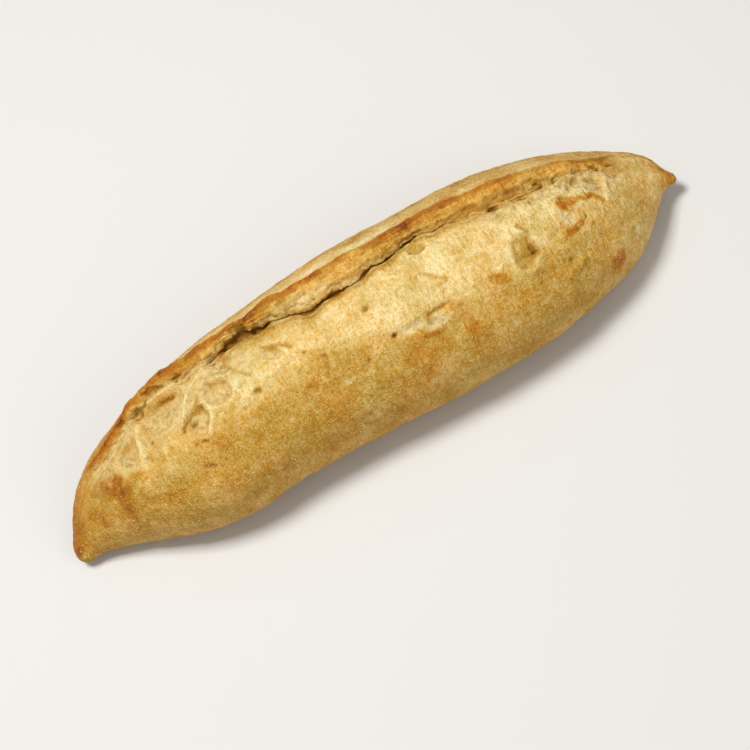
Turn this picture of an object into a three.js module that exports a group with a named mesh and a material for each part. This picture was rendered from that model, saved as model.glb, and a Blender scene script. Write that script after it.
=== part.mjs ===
// A semolina sub roll: one long loaf with a flat underside and a drawn-out tip at each end. It was cut once
// along its top before baking. In the oven the cut opened: its front side swelled into a smooth bloom that
// slopes forward to the shoulder, and its back side lifted into a thin crisp ear, with a ragged hem
// that hangs over a dark crevice.
//
// Millimetres. X runs along the loaf, Y across it towards the back, and Z up from the surface it lies on.
// The origin is in the middle of the loaf's length and width, on that surface.

import * as THREE from 'three';
import { LoftGeometry } from 'three/addons/geometries/LoftGeometry.js';

// Driving dimensions.
const LENGTH = 250; // tip to tip
const STEPS_ALONG = 84; // steps between the cross sections, tip to tip
const END_CROWDING = 0.5; // 0 spaces the sections evenly, 1 crowds them into the tips
const CRUST_STEPS = 26; // steps round the plain crust of a section

// The loaf's section: a wide oval, flattened below, where it lay on the baking sheet.
const WIDEST_HEIGHT = 0.41; // height of the widest line, as a share of the section's height
const ROUNDNESS_ABOVE = 2.15; // exponent of the oval's upper half, where 2 is an ellipse
const ROUNDNESS_BELOW = 2.7; // exponent of its lower half, which is squarer

// Where the oval changes along the loaf: [along, front edge, back edge, crown, underside].
// An underside below 0 is cut off flat at 0, which leaves the face that the loaf rests on.
const SECTIONS = [
	[ - 125, - 7.4, - 5.6, 6.4, 4.4 ],
	[ - 122, - 10.9, 1.8, 10, 2.2 ],
	[ - 117, - 11.4, 9.2, 15.5, 1.1 ],
	[ - 104, - 16, 18.4, 26.5, - 0.4 ],
	[ - 90, - 23.4, 22.4, 35, - 1 ],
	[ - 76, - 29.3, 26.4, 40.8, - 1 ],
	[ - 60, - 32.2, 28.8, 44.4, - 1 ],
	[ - 45, - 31.2, 30.4, 46.3, - 1 ],
	[ - 20, - 31.8, 32.4, 48.1, - 1 ],
	[ 10, - 34.4, 33.8, 48.8, - 1 ],
	[ 30, - 35.6, 32.6, 48.4, - 1 ],
	[ 58, - 34.8, 31.8, 46, - 1 ],
	[ 72, - 31.8, 29.3, 43.2, - 1 ],
	[ 86, - 28.2, 26.2, 38.4, - 1 ],
	[ 100, - 21.6, 22.1, 30.1, - 0.3 ],
	[ 110, - 13, 17.1, 22.5, 2 ],
	[ 117.5, - 6.2, 12.8, 16.2, 4.8 ],
	[ 121, - 4.2, 8, 13, 6.2 ],
	[ 123, - 4.2, 2, 10.8, 6.8 ],
	[ 125, - 3.2, - 1.8, 9, 7.8 ],
];

// How the cut opened: [along, crevice, ear's edge, ear's height, crevice's depth]. The crevice and the edge
// are places across the top, as shares of the half width from the middle (-1 front, 1 back).
const OPENING = [
	[ - 125, 0.06, 0.3, 0, 0 ],
	[ - 110, 0.06, 0.3, 0.2, 0 ],
	[ - 101, 0.12, 0.38, 1.4, 0.6 ],
	[ - 88, 0.3, 0.5, 2.4, 1.6 ],
	[ - 78, 0.41, 0.6, 3.6, 2.2 ],
	[ - 64, 0.4, 0.58, 3.8, 2.6 ],
	[ - 50, 0.3, 0.5, 4, 2.8 ],
	[ - 35, 0.24, 0.43, 4.2, 4.8 ],
	[ - 19, 0.2, 0.41, 4.6, 3.8 ],
	[ - 5, 0.16, 0.37, 4.8, 4.4 ],
	[ 12, 0.19, 0.35, 4.8, 5 ],
	[ 30, 0.27, 0.37, 4.8, 5 ],
	[ 42, 0.22, 0.38, 4.8, 3.8 ],
	[ 53, 0.13, 0.35, 4.4, 2.8 ],
	[ 69, 0.09, 0.34, 4, 2.4 ],
	[ 88, 0.16, 0.34, 3, 1.8 ],
	[ 99, 0.12, 0.29, 2, 1.2 ],
	[ 106, - 0.04, 0.2, 1, 0.5 ],
	[ 111, - 0.04, 0.2, 0, 0 ],
	[ 125, 0.06, 0.3, 0, 0 ],
];

// The two lines where the opened top meets the plain crust, as shares of the half width.
const SHOULDER = - 0.82;
const EAR_FOOT = 0.82;

// The opened top in section.
const BLOOM_SWELL = 0.9; // how far the bloom swells above the oval
const SHOULDER_STEP = 0.5; // low step where the old skin ends
const UNDERCUT = 0.85; // how far the crevice runs back under the ear, as a share of its depth
const HEM_DROP = 0.9; // how far the hem hangs below the oval
const EDGE_THICKNESS = 1.1; // thickness of the ear's crisp edge
const FULL_RELIEF_DEPTH = 1.5; // crevice depth from which the opened top has its whole relief

// Hollows and blisters of the top: [along, across, radius, height]. A negative height is a hollow.
const BLISTERS = [
	[ 60, - 16, 6, - 1.5 ],
	[ 31, 3.5, 4, - 0.8 ],
	[ 22, - 23, 6, - 0.8 ],
	[ 80, - 5, 6, - 0.7 ],
	[ 90, 1, 6, - 0.8 ],
	[ - 13, - 30, 8, 0.6 ],
	[ - 30, 1, 5, - 0.8 ],
	[ - 45, 4, 5, - 1.2 ],
	[ - 55, - 16, 8, 0.7 ],
	[ - 62, - 9, 5, - 0.9 ],
	[ - 76, - 1, 6, - 0.8 ],
];

// Stretched strands of dough across the bloom: [from along, from across, to along, to across, width, height].
const STRANDS = [
	[ - 65, - 6, - 49, 8, 3, 1.1 ],
	[ - 84, - 9, - 80, 6, 3, 0.7 ],
	[ - 40, 6, - 34, - 3, 3, 0.6 ],
];

const CRUST_COLOUR = 0xc9a057; // golden tan
const CRUST_ROUGHNESS = 0.62;

const lerp = THREE.MathUtils.lerp;
const smoothstep = THREE.MathUtils.smoothstep;

// A smooth curve through column `column` of a table whose first column is the place along the loaf. Places are
// turned into angles, so that a width that falls straight to the end of the table rounds off a tip.
function alongLoaf( table, column ) {

	const angle = ( x ) => Math.asin( THREE.MathUtils.clamp( 2 * x / LENGTH, - 1, 1 ) );
	const at = table.map( ( row ) => angle( row[ 0 ] ) );
	const value = table.map( ( row ) => row[ column ] );
	const last = table.length - 1;
	const slope = value.map( ( _, i ) => {

		const before = Math.max( i - 1, 0 );
		const after = Math.min( i + 1, last );
		return ( value[ after ] - value[ before ] ) / ( at[ after ] - at[ before ] );

	} );

	return ( x ) => {

		const a = angle( x );
		let i = 0;
		while ( i < last - 1 && a > at[ i + 1 ] ) i ++;
		const span = at[ i + 1 ] - at[ i ];
		const t = ( a - at[ i ] ) / span;
		const t2 = t * t;
		const t3 = t2 * t;
		return ( 2 * t3 - 3 * t2 + 1 ) * value[ i ] + ( 3 * t2 - 2 * t3 ) * value[ i + 1 ] +
			( t3 - 2 * t2 + t ) * span * slope[ i ] + ( t3 - t2 ) * span * slope[ i + 1 ];

	};

}

const frontAt = alongLoaf( SECTIONS, 1 );
const backAt = alongLoaf( SECTIONS, 2 );
const crownAt = alongLoaf( SECTIONS, 3 );
const undersideAt = alongLoaf( SECTIONS, 4 );
const creviceAt = alongLoaf( OPENING, 1 );
const edgeAt = alongLoaf( OPENING, 2 );
const earHeightAt = alongLoaf( OPENING, 3 );
const creviceDepthAt = alongLoaf( OPENING, 4 );

// An uneven wave along the loaf, between -1 and 1, that repeats nowhere on it. `wavelength` is its longest.
function ragged( x, wavelength, phase ) {

	const turn = 2 * Math.PI / wavelength;
	return 0.6 * Math.sin( turn * x + phase ) + 0.4 * Math.sin( 1.73 * turn * x + 2.1 * phase );

}

// The plain oval of the loaf at a place along it.
class Oval {

	constructor( x ) {

		this.x = x;
		this.middle = ( frontAt( x ) + backAt( x ) ) / 2;
		this.halfWidth = ( backAt( x ) - frontAt( x ) ) / 2;
		this.widest = lerp( undersideAt( x ), crownAt( x ), WIDEST_HEIGHT );
		this.above = crownAt( x ) - this.widest;
		this.below = this.widest - undersideAt( x );

	}

	// The point at an angle from the widest point at the back, anticlockwise as seen from -X.
	point( angle ) {

		const c = Math.cos( angle );
		const s = Math.sin( angle );
		const power = 2 / ( s >= 0 ? ROUNDNESS_ABOVE : ROUNDNESS_BELOW );
		const across = Math.sign( c ) * Math.abs( c ) ** power;
		const up = Math.sign( s ) * Math.abs( s ) ** power * ( s >= 0 ? this.above : this.below );
		return new THREE.Vector2( this.middle + this.halfWidth * across, this.widest + up );

	}

	// The point of the upper half at a share of the half width, raised by a height.
	top( share, height = 0 ) {

		const up = ( 1 - Math.abs( share ) ** ROUNDNESS_ABOVE ) ** ( 1 / ROUNDNESS_ABOVE );
		return new THREE.Vector2( this.middle + this.halfWidth * share, this.widest + this.above * up + height );

	}

	// The angle at which point() gives top( share ).
	angleOf( share ) {

		const bent = Math.abs( share ) ** ( ROUNDNESS_ABOVE / 2 );
		return Math.acos( Math.sign( share ) * bent );

	}

}

// The opened top of a section, from the shoulder over the bloom, down into the crevice, and up the ear to its foot.
function openedTop( oval ) {

	const x = oval.x;
	const depth = creviceDepthAt( x );
	const whole = smoothstep( depth, 0, FULL_RELIEF_DEPTH );
	const ear = earHeightAt( x ) * ( 1 + 0.12 * ragged( x, 23, 1 ) );
	const crevice = creviceAt( x ) + 0.025 * ragged( x, 17, 2 );
	const edge = edgeAt( x ) + 0.02 * ragged( x, 26, 5 );
	const undercut = UNDERCUT * depth / oval.halfWidth;
	const thick = EDGE_THICKNESS / oval.halfWidth;
	const swell = whole * BLOOM_SWELL;
	const hem = whole * HEM_DROP;

	// Each place across the top: its share of the half width, its height over the oval, and how many
	// steps lead on from it to the next place.
	const stops = [
		[ SHOULDER, 0, 1 ],
		[ lerp( SHOULDER, crevice, 0.05 ), - whole * SHOULDER_STEP, 3 ],
		[ lerp( SHOULDER, crevice, 0.22 ), 0.3 * swell, 4 ],
		[ lerp( SHOULDER, crevice, 0.45 ), 0.9 * swell, 4 ],
		[ lerp( SHOULDER, crevice, 0.7 ), 0.9 * swell, 4 ],
		[ lerp( SHOULDER, crevice, 0.88 ), 0.2 * swell - 0.1 * depth, 3 ],
		[ crevice - 0.02, - 0.3 * depth - 0.3 * hem, 2 ],
		[ crevice + 0.55 * undercut, - 0.8 * depth, 2 ],
		[ crevice + undercut + 0.02, - depth, 1 ],
		[ crevice + undercut + 0.05, - 0.72 * depth, 2 ],
		[ crevice + 0.5 * undercut + 0.045, - 0.3 * depth - 0.4 * hem, 2 ],
		[ lerp( crevice, edge, 0.12 ), 0.05 * ear - 0.1 * depth, 2 ],
		[ lerp( crevice, edge, 0.4 ), 0.42 * ear, 2 ],
		[ lerp( crevice, edge, 0.75 ), 0.78 * ear, 2 ],
		[ edge, ear, 1 ],
		[ edge + thick, 0.97 * ear, 3 ],
		[ lerp( edge, EAR_FOOT, 0.35 ), 0.5 * ear, 3 ],
		[ lerp( edge, EAR_FOOT, 0.7 ), 0.12 * ear, 3 ],
		[ EAR_FOOT, 0, 0 ],
	];
	const allSteps = stops.reduce( ( sum, stop ) => sum + stop[ 2 ], 0 );

	// Towards the tips, where the cut runs out, the places spread out evenly again.
	let before = 0;
	const outline = new THREE.SplineCurve( stops.map( ( [ share, height, steps ] ) => {

		const closed = lerp( SHOULDER, EAR_FOOT, before / allSteps );
		before += steps;
		return oval.top( lerp( closed, share, whole ), height );

	} ) );

	const points = [];
	stops.forEach( ( [ , , steps ], i ) => {

		for ( let j = 0; j < steps; j ++ ) {

			points.push( outline.getPoint( ( i + j / steps ) / ( stops.length - 1 ) ) );

		}

	} );
	points.push( outline.getPoint( 1 ) );
	return points;

}

// The plain crust of a section, from the ear's foot round the back, the underside and the front to the shoulder.
function plainCrust( oval ) {

	const from = oval.angleOf( EAR_FOOT );
	const to = oval.angleOf( SHOULDER ) - 2 * Math.PI;
	const points = [];
	for ( let i = 1; i < CRUST_STEPS; i ++ ) {

		points.push( oval.point( lerp( from, to, i / CRUST_STEPS ) ) );

	}

	return points;

}

// How far the blisters, hollows and strands lift the top at a place.
function relief( x, y ) {

	let lift = 0;
	for ( const [ along, across, radius, height ] of BLISTERS ) {

		const away = Math.hypot( x - along, y - across ) / radius;
		lift += height * Math.exp( - 2 * away * away );

	}

	for ( const [ fromX, fromY, toX, toY, width, height ] of STRANDS ) {

		const run = new THREE.Vector2( toX - fromX, toY - fromY );
		const here = new THREE.Vector2( x - fromX, y - fromY );
		const t = THREE.MathUtils.clamp( here.dot( run ) / run.lengthSq(), 0, 1 );
		const away = here.distanceTo( run.multiplyScalar( t ) ) / width;
		lift += height * Math.exp( - 2 * away * away );

	}

	return lift;

}

// One cross section as a closed ring of points, anticlockwise as seen from the +X end.
function crossSection( x ) {

	const oval = new Oval( x );
	const ring = [ ...openedTop( oval ), ...plainCrust( oval ) ].reverse();
	return ring.map( ( p ) => {

		const lifted = p.y > oval.widest ? p.y + relief( x, p.x ) : p.y;
		return new THREE.Vector3( x, p.x, Math.max( lifted, 0 ) );

	} );

}

// The loaf: a skin through the cross sections, closed by a small face at each tip.
function makeRoll() {

	const sections = [];
	for ( let i = 0; i <= STEPS_ALONG; i ++ ) {

		const even = 2 * i / STEPS_ALONG - 1;
		const crowded = - Math.cos( Math.PI * i / STEPS_ALONG );
		sections.push( crossSection( LENGTH / 2 * lerp( even, crowded, END_CROWDING ) ) );

	}

	const geometry = new LoftGeometry( sections, { capStart: true, capEnd: true } );
	geometry.computeBoundingBox();
	const middle = geometry.boundingBox.getCenter( new THREE.Vector3() );
	geometry.translate( - middle.x, - middle.y, 0 );

	const crust = new THREE.MeshStandardMaterial( { color: CRUST_COLOUR, roughness: CRUST_ROUGHNESS, metalness: 0 } );
	const roll = new THREE.Mesh( geometry, crust );
	roll.name = 'roll';
	return roll;

}

const subRoll = new THREE.Group();
subRoll.add( makeRoll() );

export default subRoll;
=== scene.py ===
"""Dresses a semolina sub roll: a baked crust with its bloom, crevice and ear, and semolina grains.

Sizes are in millimetres while a piece is worked out, and in metres once it is a mesh.
"""

from __future__ import annotations

import logging
import math
import random
from dataclasses import dataclass, field, fields
from enum import Enum
from functools import partial

import bmesh
import bpy
from mathutils import Matrix, Vector, noise

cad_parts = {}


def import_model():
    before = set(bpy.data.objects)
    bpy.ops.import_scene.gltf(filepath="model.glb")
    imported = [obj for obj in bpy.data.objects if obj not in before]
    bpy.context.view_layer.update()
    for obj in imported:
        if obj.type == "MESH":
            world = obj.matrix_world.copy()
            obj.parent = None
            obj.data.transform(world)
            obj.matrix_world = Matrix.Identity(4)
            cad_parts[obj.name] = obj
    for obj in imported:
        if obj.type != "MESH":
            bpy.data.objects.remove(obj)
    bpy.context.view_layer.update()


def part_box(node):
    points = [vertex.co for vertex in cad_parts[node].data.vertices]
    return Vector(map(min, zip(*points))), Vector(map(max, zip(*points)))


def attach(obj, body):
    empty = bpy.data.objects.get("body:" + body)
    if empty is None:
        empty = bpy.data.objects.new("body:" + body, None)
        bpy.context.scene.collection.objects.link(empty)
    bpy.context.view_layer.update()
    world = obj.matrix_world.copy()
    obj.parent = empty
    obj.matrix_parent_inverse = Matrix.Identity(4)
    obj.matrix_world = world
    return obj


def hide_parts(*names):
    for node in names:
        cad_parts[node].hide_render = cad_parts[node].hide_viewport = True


LOG = logging.getLogger("sub_roll")
MM = 0.001

Rows = tuple[tuple[float, ...], ...]
Span = tuple[float, float, float]
Colour = tuple[float, float, float, float]


def lerp(a: float, b: float, t: float) -> float:
    """The value a share t of the way from a to b."""
    return a + (b - a) * t


def smooth(value: float, low: float, high: float) -> float:
    """A soft step from 0 at low to 1 at high."""
    t = min(max((value - low) / (high - low), 0.0), 1.0)
    return t * t * (3 - 2 * t)


def band(value: float, low: float, high: float, fade: float) -> float:
    """1 from low to high, fading to 0 over a distance on each side."""
    return smooth(value, low - fade, low) * (1 - smooth(value, high, high + fade))


def linear(hex_colour: int) -> Colour:
    """Turns an sRGB colour into the linear one that the shaders use.

    Args:
        hex_colour: the colour as 0xRRGGBB.

    Returns:
        Red, green, blue and an alpha of 1.
    """
    parts = [((hex_colour >> shift) & 0xFF) / 255 for shift in (16, 8, 0)]
    red, green, blue = [p / 12.92 if p <= 0.04045 else ((p + 0.055) / 1.055) ** 2.4 for p in parts]
    return (red, green, blue, 1.0)


class Node(Enum):
    """The shader nodes that the finishes use."""

    ATTRIBUTE = "ShaderNodeAttribute"
    BUMP = "ShaderNodeBump"
    CELLS = "ShaderNodeTexVoronoi"
    CLOUD = "ShaderNodeTexNoise"
    COORDINATES = "ShaderNodeTexCoord"
    MATHS = "ShaderNodeMath"
    MIX = "ShaderNodeMix"
    OUTPUT = "ShaderNodeOutputMaterial"
    RAMP = "ShaderNodeValToRGB"
    RANGE = "ShaderNodeMapRange"
    STRETCH = "ShaderNodeMapping"
    SURFACE = "ShaderNodeBsdfPrincipled"


def add_node(
    tree: bpy.types.NodeTree,
    kind: Node,
    inputs: dict[str | int, object] | None = None,
    output: str | int = 0,
    **settings: object,
) -> bpy.types.NodeSocket | None:
    """Adds one shader node.

    Args:
        tree: the material's node tree.
        kind: the node's kind.
        inputs: input name or number to a plain value, or to the output socket that feeds it.
        output: the name or number of the output that is wanted.
        settings: the node's own properties.

    Returns:
        The output's socket, or nothing where the node has no output.
    """
    node = tree.nodes.new(kind.value)
    for name, value in settings.items():
        setattr(node, name, value)
    for name, value in (inputs or {}).items():
        if isinstance(value, bpy.types.NodeSocket):
            tree.links.new(value, node.inputs[name])
        else:
            node.inputs[name].default_value = value
    return node.outputs[output] if node.outputs else None


def empty_material(name: str) -> bpy.types.Material:
    """Makes a material with no nodes yet.

    Args:
        name: the material's name.

    Returns:
        The empty material.
    """
    material = bpy.data.materials.new(name)
    material.use_nodes = True
    material.node_tree.nodes.clear()
    return material


@dataclass(frozen=True)
class AlongLoaf:
    """A smooth curve through one column of a table whose first column is the place along the loaf.

    Places are turned into angles, so that a width that falls straight to the end rounds off a tip.
    """

    length: float
    rows: Rows
    column: int

    def angle(self, x: float) -> float:
        """The angle that stands for a place along the loaf."""
        return math.asin(min(max(2 * x / self.length, -1.0), 1.0))

    def __call__(self, x: float) -> float:
        """The column's value at a place along the loaf, on a cubic curve between two rows.

        Args:
            x: the place along the loaf.

        Returns:
            The value there.
        """
        at = [self.angle(row[0]) for row in self.rows]
        value = [row[self.column] for row in self.rows]
        last = len(at) - 1
        a = self.angle(x)
        i = next((k for k in range(last - 1) if a <= at[k + 1]), last - 1)
        around = [(max(k - 1, 0), min(k + 1, last)) for k in (i, i + 1)]
        slopes = [(value[high] - value[low]) / (at[high] - at[low]) for low, high in around]
        span = at[i + 1] - at[i]
        t = (a - at[i]) / span
        t2, t3 = t * t, t * t * t
        return (
            (2 * t3 - 3 * t2 + 1) * value[i]
            + (3 * t2 - 2 * t3) * value[i + 1]
            + (t3 - 2 * t2 + t) * span * slopes[0]
            + (t3 - t2) * span * slopes[1]
        )


@dataclass(frozen=True)
class Oval:
    """The loaf's plain cross section at one place: a wide oval, squarer and flattened below."""

    middle: float
    half_width: float
    widest: float
    above: float
    below: float
    roundness_above: float = 2.15
    roundness_below: float = 2.7

    def point(self, angle: float) -> Vector:
        """The point at an angle from the widest point at the back, by way of the top.

        Args:
            angle: the angle, in radians.

        Returns:
            The point, across and up.
        """
        c, s = math.cos(angle), math.sin(angle)
        power = 2 / (self.roundness_above if s >= 0 else self.roundness_below)
        across = math.copysign(abs(c) ** power, c)
        up = math.copysign(abs(s) ** power, s) * (self.above if s >= 0 else self.below)
        return Vector((self.middle + self.half_width * across, self.widest + up))

    def top(self, share: float, height: float) -> Vector:
        """The point of the upper half at a share of the half width, raised by a height."""
        up = self.above * (1 - abs(share) ** self.roundness_above) ** (1 / self.roundness_above)
        return Vector((self.middle + self.half_width * share, self.widest + up + height))

    def angle_of(self, share: float) -> float:
        """The angle at which point() gives top() of that share."""
        return math.acos(math.copysign(abs(share) ** (self.roundness_above / 2), share))


class Stretch(Enum):
    """The stretches of a cross section, in order round it from the front shoulder over the top."""

    BLOOM = "bloom"
    CREVICE = "crevice"
    FACE = "ear face"
    BACK = "ear back"
    REAR = "rear crust"
    BASE = "underside"
    FRONT = "front crust"


@dataclass(frozen=True)
class Stop:
    """A place across the opened top: its share of the half width and its height over the oval."""

    share: float
    height: float
    steps: int
    stretch: Stretch


@dataclass(frozen=True)
class LoafForm:
    """The form of the whole loaf, the same as the solid's, at a finer step."""

    length: float = 250.0
    widest_height: float = 0.41
    shoulder: float = -0.82
    ear_foot: float = 0.82
    bloom_swell: float = 0.9
    shoulder_step: float = 0.5
    undercut: float = 0.51
    hem_drop: float = 0.9
    edge_thickness: float = 1.1
    full_relief_depth: float = 1.5
    # The crevice where it is shut and where it gapes: its share of the solid's depth, and how much
    # of its hem hangs down. Its mouth opens by a share of the half width.
    depth_kept: tuple[float, float] = (0.1, 0.7)
    hem_kept: tuple[float, float] = (0.25, 0.7)
    mouth_width: float = 0.065
    # The cut's lines wander by a share of the half width, and tear by millimetres.
    crevice_wander: float = 0.025
    edge_wander: float = 0.02
    lip_tear: float = 0.5
    edge_tear: float = 0.6
    fringe_tear: float = 1.7
    # Place, half width and height of the places where the ear's edge curls up.
    ear_crests: Rows = (
        (-79.5, 2.2, 0.9),
        (-74, 2.6, 0.7),
        (-49.5, 4, 0.7),
        (-17, 5, 0.9),
        (27, 6, 0.5),
    )
    underside_from: float = math.radians(-48)
    underside_to: float = math.radians(-132)
    rear_steps: int = 26
    underside_steps: int = 14
    front_steps: int = 36
    # Place along the loaf, front edge, back edge, crown, underside.
    sections: Rows = (
        (-125, -7.4, -5.6, 6.4, 4.4),
        (-122, -10.9, 1.8, 10, 2.2),
        (-117, -11.4, 9.2, 15.5, 1.1),
        (-104, -16, 18.4, 26.5, -0.4),
        (-90, -23.4, 22.4, 35, -1),
        (-76, -29.3, 26.4, 40.8, -1),
        (-60, -32.2, 28.8, 44.4, -1),
        (-45, -31.2, 30.4, 46.3, -1),
        (-20, -31.8, 32.4, 48.1, -1),
        (10, -34.4, 33.8, 48.8, -1),
        (30, -35.6, 32.6, 48.4, -1),
        (58, -34.8, 31.8, 46, -1),
        (72, -31.8, 29.3, 43.2, -1),
        (86, -28.2, 26.2, 38.4, -1),
        (100, -21.6, 22.1, 30.1, -0.3),
        (110, -13, 17.1, 22.5, 2),
        (117.5, -6.2, 12.8, 16.2, 4.8),
        (121, -4.2, 8, 13, 6.2),
        (123, -4.2, 2, 10.8, 6.8),
        (125, -3.2, -1.8, 9, 7.8),
    )
    # Place along the loaf, crevice, ear's edge, ear's height, crevice's depth.
    opening: Rows = (
        (-125, 0.06, 0.3, 0, 0),
        (-110, 0.06, 0.3, 0.2, 0),
        (-101, 0.12, 0.38, 1.4, 0.6),
        (-88, 0.3, 0.5, 2.4, 1.6),
        (-78, 0.41, 0.6, 3.6, 2.2),
        (-64, 0.4, 0.58, 3.8, 2.6),
        (-50, 0.3, 0.5, 4, 2.8),
        (-35, 0.28, 0.43, 4.2, 4.8),
        (-19, 0.19, 0.41, 4.6, 3.8),
        (-12, 0.09, 0.39, 4.7, 4.1),
        (-5, 0.08, 0.37, 4.8, 4.4),
        (12, 0.115, 0.35, 4.8, 5),
        (30, 0.23, 0.37, 4.8, 5),
        (42, 0.22, 0.38, 4.8, 3.8),
        (53, 0.13, 0.35, 4.4, 2.8),
        (69, 0.09, 0.34, 4, 2.4),
        (88, 0.16, 0.34, 3, 1.8),
        (99, 0.12, 0.29, 2, 1.2),
        (106, -0.04, 0.2, 1, 0.5),
        (111, -0.04, 0.2, 0, 0),
        (125, 0.06, 0.3, 0, 0),
    )
    # Place along the loaf, how wide the crevice stands open between its torn edges.
    gapes: Rows = (
        (-125, 0), (-100, 0.04), (-50, 0.08), (-44, 0.3), (-39, 1.5), (-33, 1.3), (-28, 1.2),
        (-22, 0.25), (-17, 0.35), (-12, 0.5), (-4, 0.55), (0, 0.7), (5, 0.35), (9, 0.2),
        (13, 0.6), (17, 0.35), (22, 0.55), (26, 0.35), (31, 0.5), (38, 0.3), (44, 0.4),
        (50, 0.12), (58, 0.2), (60.5, 0.6), (63, 0.2), (68, 0.08), (104, 0.04), (125, 0),
    )

    def gape(self, x: float) -> float:
        """How wide the crevice stands open at a place along the loaf.

        Args:
            x: the place.

        Returns:
            0 where it is shut, 1 where it stands open, and a little more where it gapes widest.
        """
        for (x0, g0), (x1, g1) in zip(self.gapes, self.gapes[1:]):
            if x <= x1:
                return lerp(g0, g1, (x - x0) / (x1 - x0))
        return 0.0

    def section_value(self, column: int, x: float) -> float:
        """One column of the section table at a place along the loaf."""
        return AlongLoaf(self.length, self.sections, column)(x)

    def opening_value(self, column: int, x: float) -> float:
        """One column of the opening table at a place along the loaf."""
        return AlongLoaf(self.length, self.opening, column)(x)

    def oval(self, x: float) -> Oval:
        """The plain cross section at a place along the loaf.

        Args:
            x: the place.

        Returns:
            The section's oval.
        """
        front, back, crown, underside = (self.section_value(column, x) for column in (1, 2, 3, 4))
        widest = lerp(underside, crown, self.widest_height)
        middle, half_width = (front + back) / 2, (back - front) / 2
        return Oval(middle, half_width, widest, crown - widest, widest - underside)

    @staticmethod
    def ragged(x: float, wavelength: float, phase: float) -> float:
        """The solid's own uneven wave along the loaf, between -1 and 1."""
        turn = 2 * math.pi / wavelength
        return 0.6 * math.sin(turn * x + phase) + 0.4 * math.sin(1.73 * turn * x + 2.1 * phase)

    @staticmethod
    def tear(x: float, size: float, seed: float) -> float:
        """A fine ragged line along the loaf, between about -1 and 1, for torn edges."""
        return noise.fractal(Vector((x / size, seed, 0.5)), 0.7, 2.1, 3)

    def stops(self, x: float, oval: Oval) -> list[Stop]:
        """The places across the opened top, from the shoulder to the foot of the ear.

        Args:
            x: the place along the loaf.
            oval: the plain section there.

        Returns:
            The stops in order. Each one's steps lead on to the next.
        """
        depth = self.opening_value(4, x)
        whole = smooth(depth, 0, self.full_relief_depth)
        gape = self.gape(x)
        open_share = min(gape, 1.0)
        depth *= lerp(*self.depth_kept, open_share)
        mouth = lerp(0.0, self.mouth_width, gape)
        uneven = 1 + 0.12 * self.ragged(x, 23, 1) + 0.14 * self.tear(x, 6, 3.1)
        ear = self.opening_value(3, x) * uneven
        ear += sum(
            height * math.exp(-(((x - at) / width) ** 2)) for at, width, height in self.ear_crests
        )
        mm = 1 / oval.half_width
        crevice = self.opening_value(1, x) + self.crevice_wander * self.ragged(x, 17, 2)
        lip = crevice + self.lip_tear * mm * self.tear(x, 5, 7.7)
        edge = self.opening_value(2, x) + self.edge_wander * self.ragged(x, 26, 5)
        edge += self.edge_tear * mm * self.tear(x, 7, 1.3)
        fringe = mm * (self.fringe_tear * self.tear(x, 2.6, 5.9) - 0.1)
        fringe *= lerp(0.2, 1.0, min(2 * gape, 1.0))
        undercut = self.undercut * depth * mm
        thick = self.edge_thickness * mm
        swell = whole * self.bloom_swell
        hem = whole * self.hem_drop * lerp(*self.hem_kept, open_share)
        under_hem = crevice + 0.15 * undercut + mouth
        across = partial(lerp, self.shoulder, lip)
        face = partial(lerp, crevice + mouth, edge)
        back = partial(lerp, edge, self.ear_foot)
        # Share of the half width, height over the oval, steps to the next stop, stretch.
        return [
            Stop(self.shoulder, 0, 3, Stretch.BLOOM),
            Stop(across(0.05), -whole * self.shoulder_step, 11, Stretch.BLOOM),
            Stop(across(0.22), 0.3 * swell, 17, Stretch.BLOOM),
            Stop(across(0.45), 0.9 * swell, 18, Stretch.BLOOM),
            Stop(across(0.7), 0.9 * swell, 16, Stretch.BLOOM),
            Stop(across(0.88), 0.2 * swell - 0.1 * depth, 12, Stretch.BLOOM),
            Stop(lip - 0.02, -0.3 * depth - 0.3 * hem, 6, Stretch.CREVICE),
            Stop(crevice + 0.55 * undercut, -0.8 * depth, 5, Stretch.CREVICE),
            Stop(crevice + undercut + 0.02, -depth, 3, Stretch.CREVICE),
            Stop(crevice + undercut + 0.05, -0.72 * depth, 5, Stretch.CREVICE),
            Stop(under_hem - 0.5 * fringe, -0.3 * depth - 0.4 * hem, 5, Stretch.CREVICE),
            Stop(face(0.12) - fringe, 0.05 * ear - 0.1 * depth, 6, Stretch.FACE),
            Stop(face(0.4) - 0.5 * fringe, 0.42 * ear, 7, Stretch.FACE),
            Stop(face(0.75), 0.78 * ear, 6, Stretch.FACE),
            Stop(edge, ear, 4, Stretch.BACK),
            Stop(edge + thick, 0.97 * ear, 9, Stretch.BACK),
            Stop(back(0.35), 0.5 * ear, 9, Stretch.BACK),
            Stop(back(0.7), 0.12 * ear, 8, Stretch.BACK),
            Stop(self.ear_foot, 0, 0, Stretch.BACK),
        ]

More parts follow.
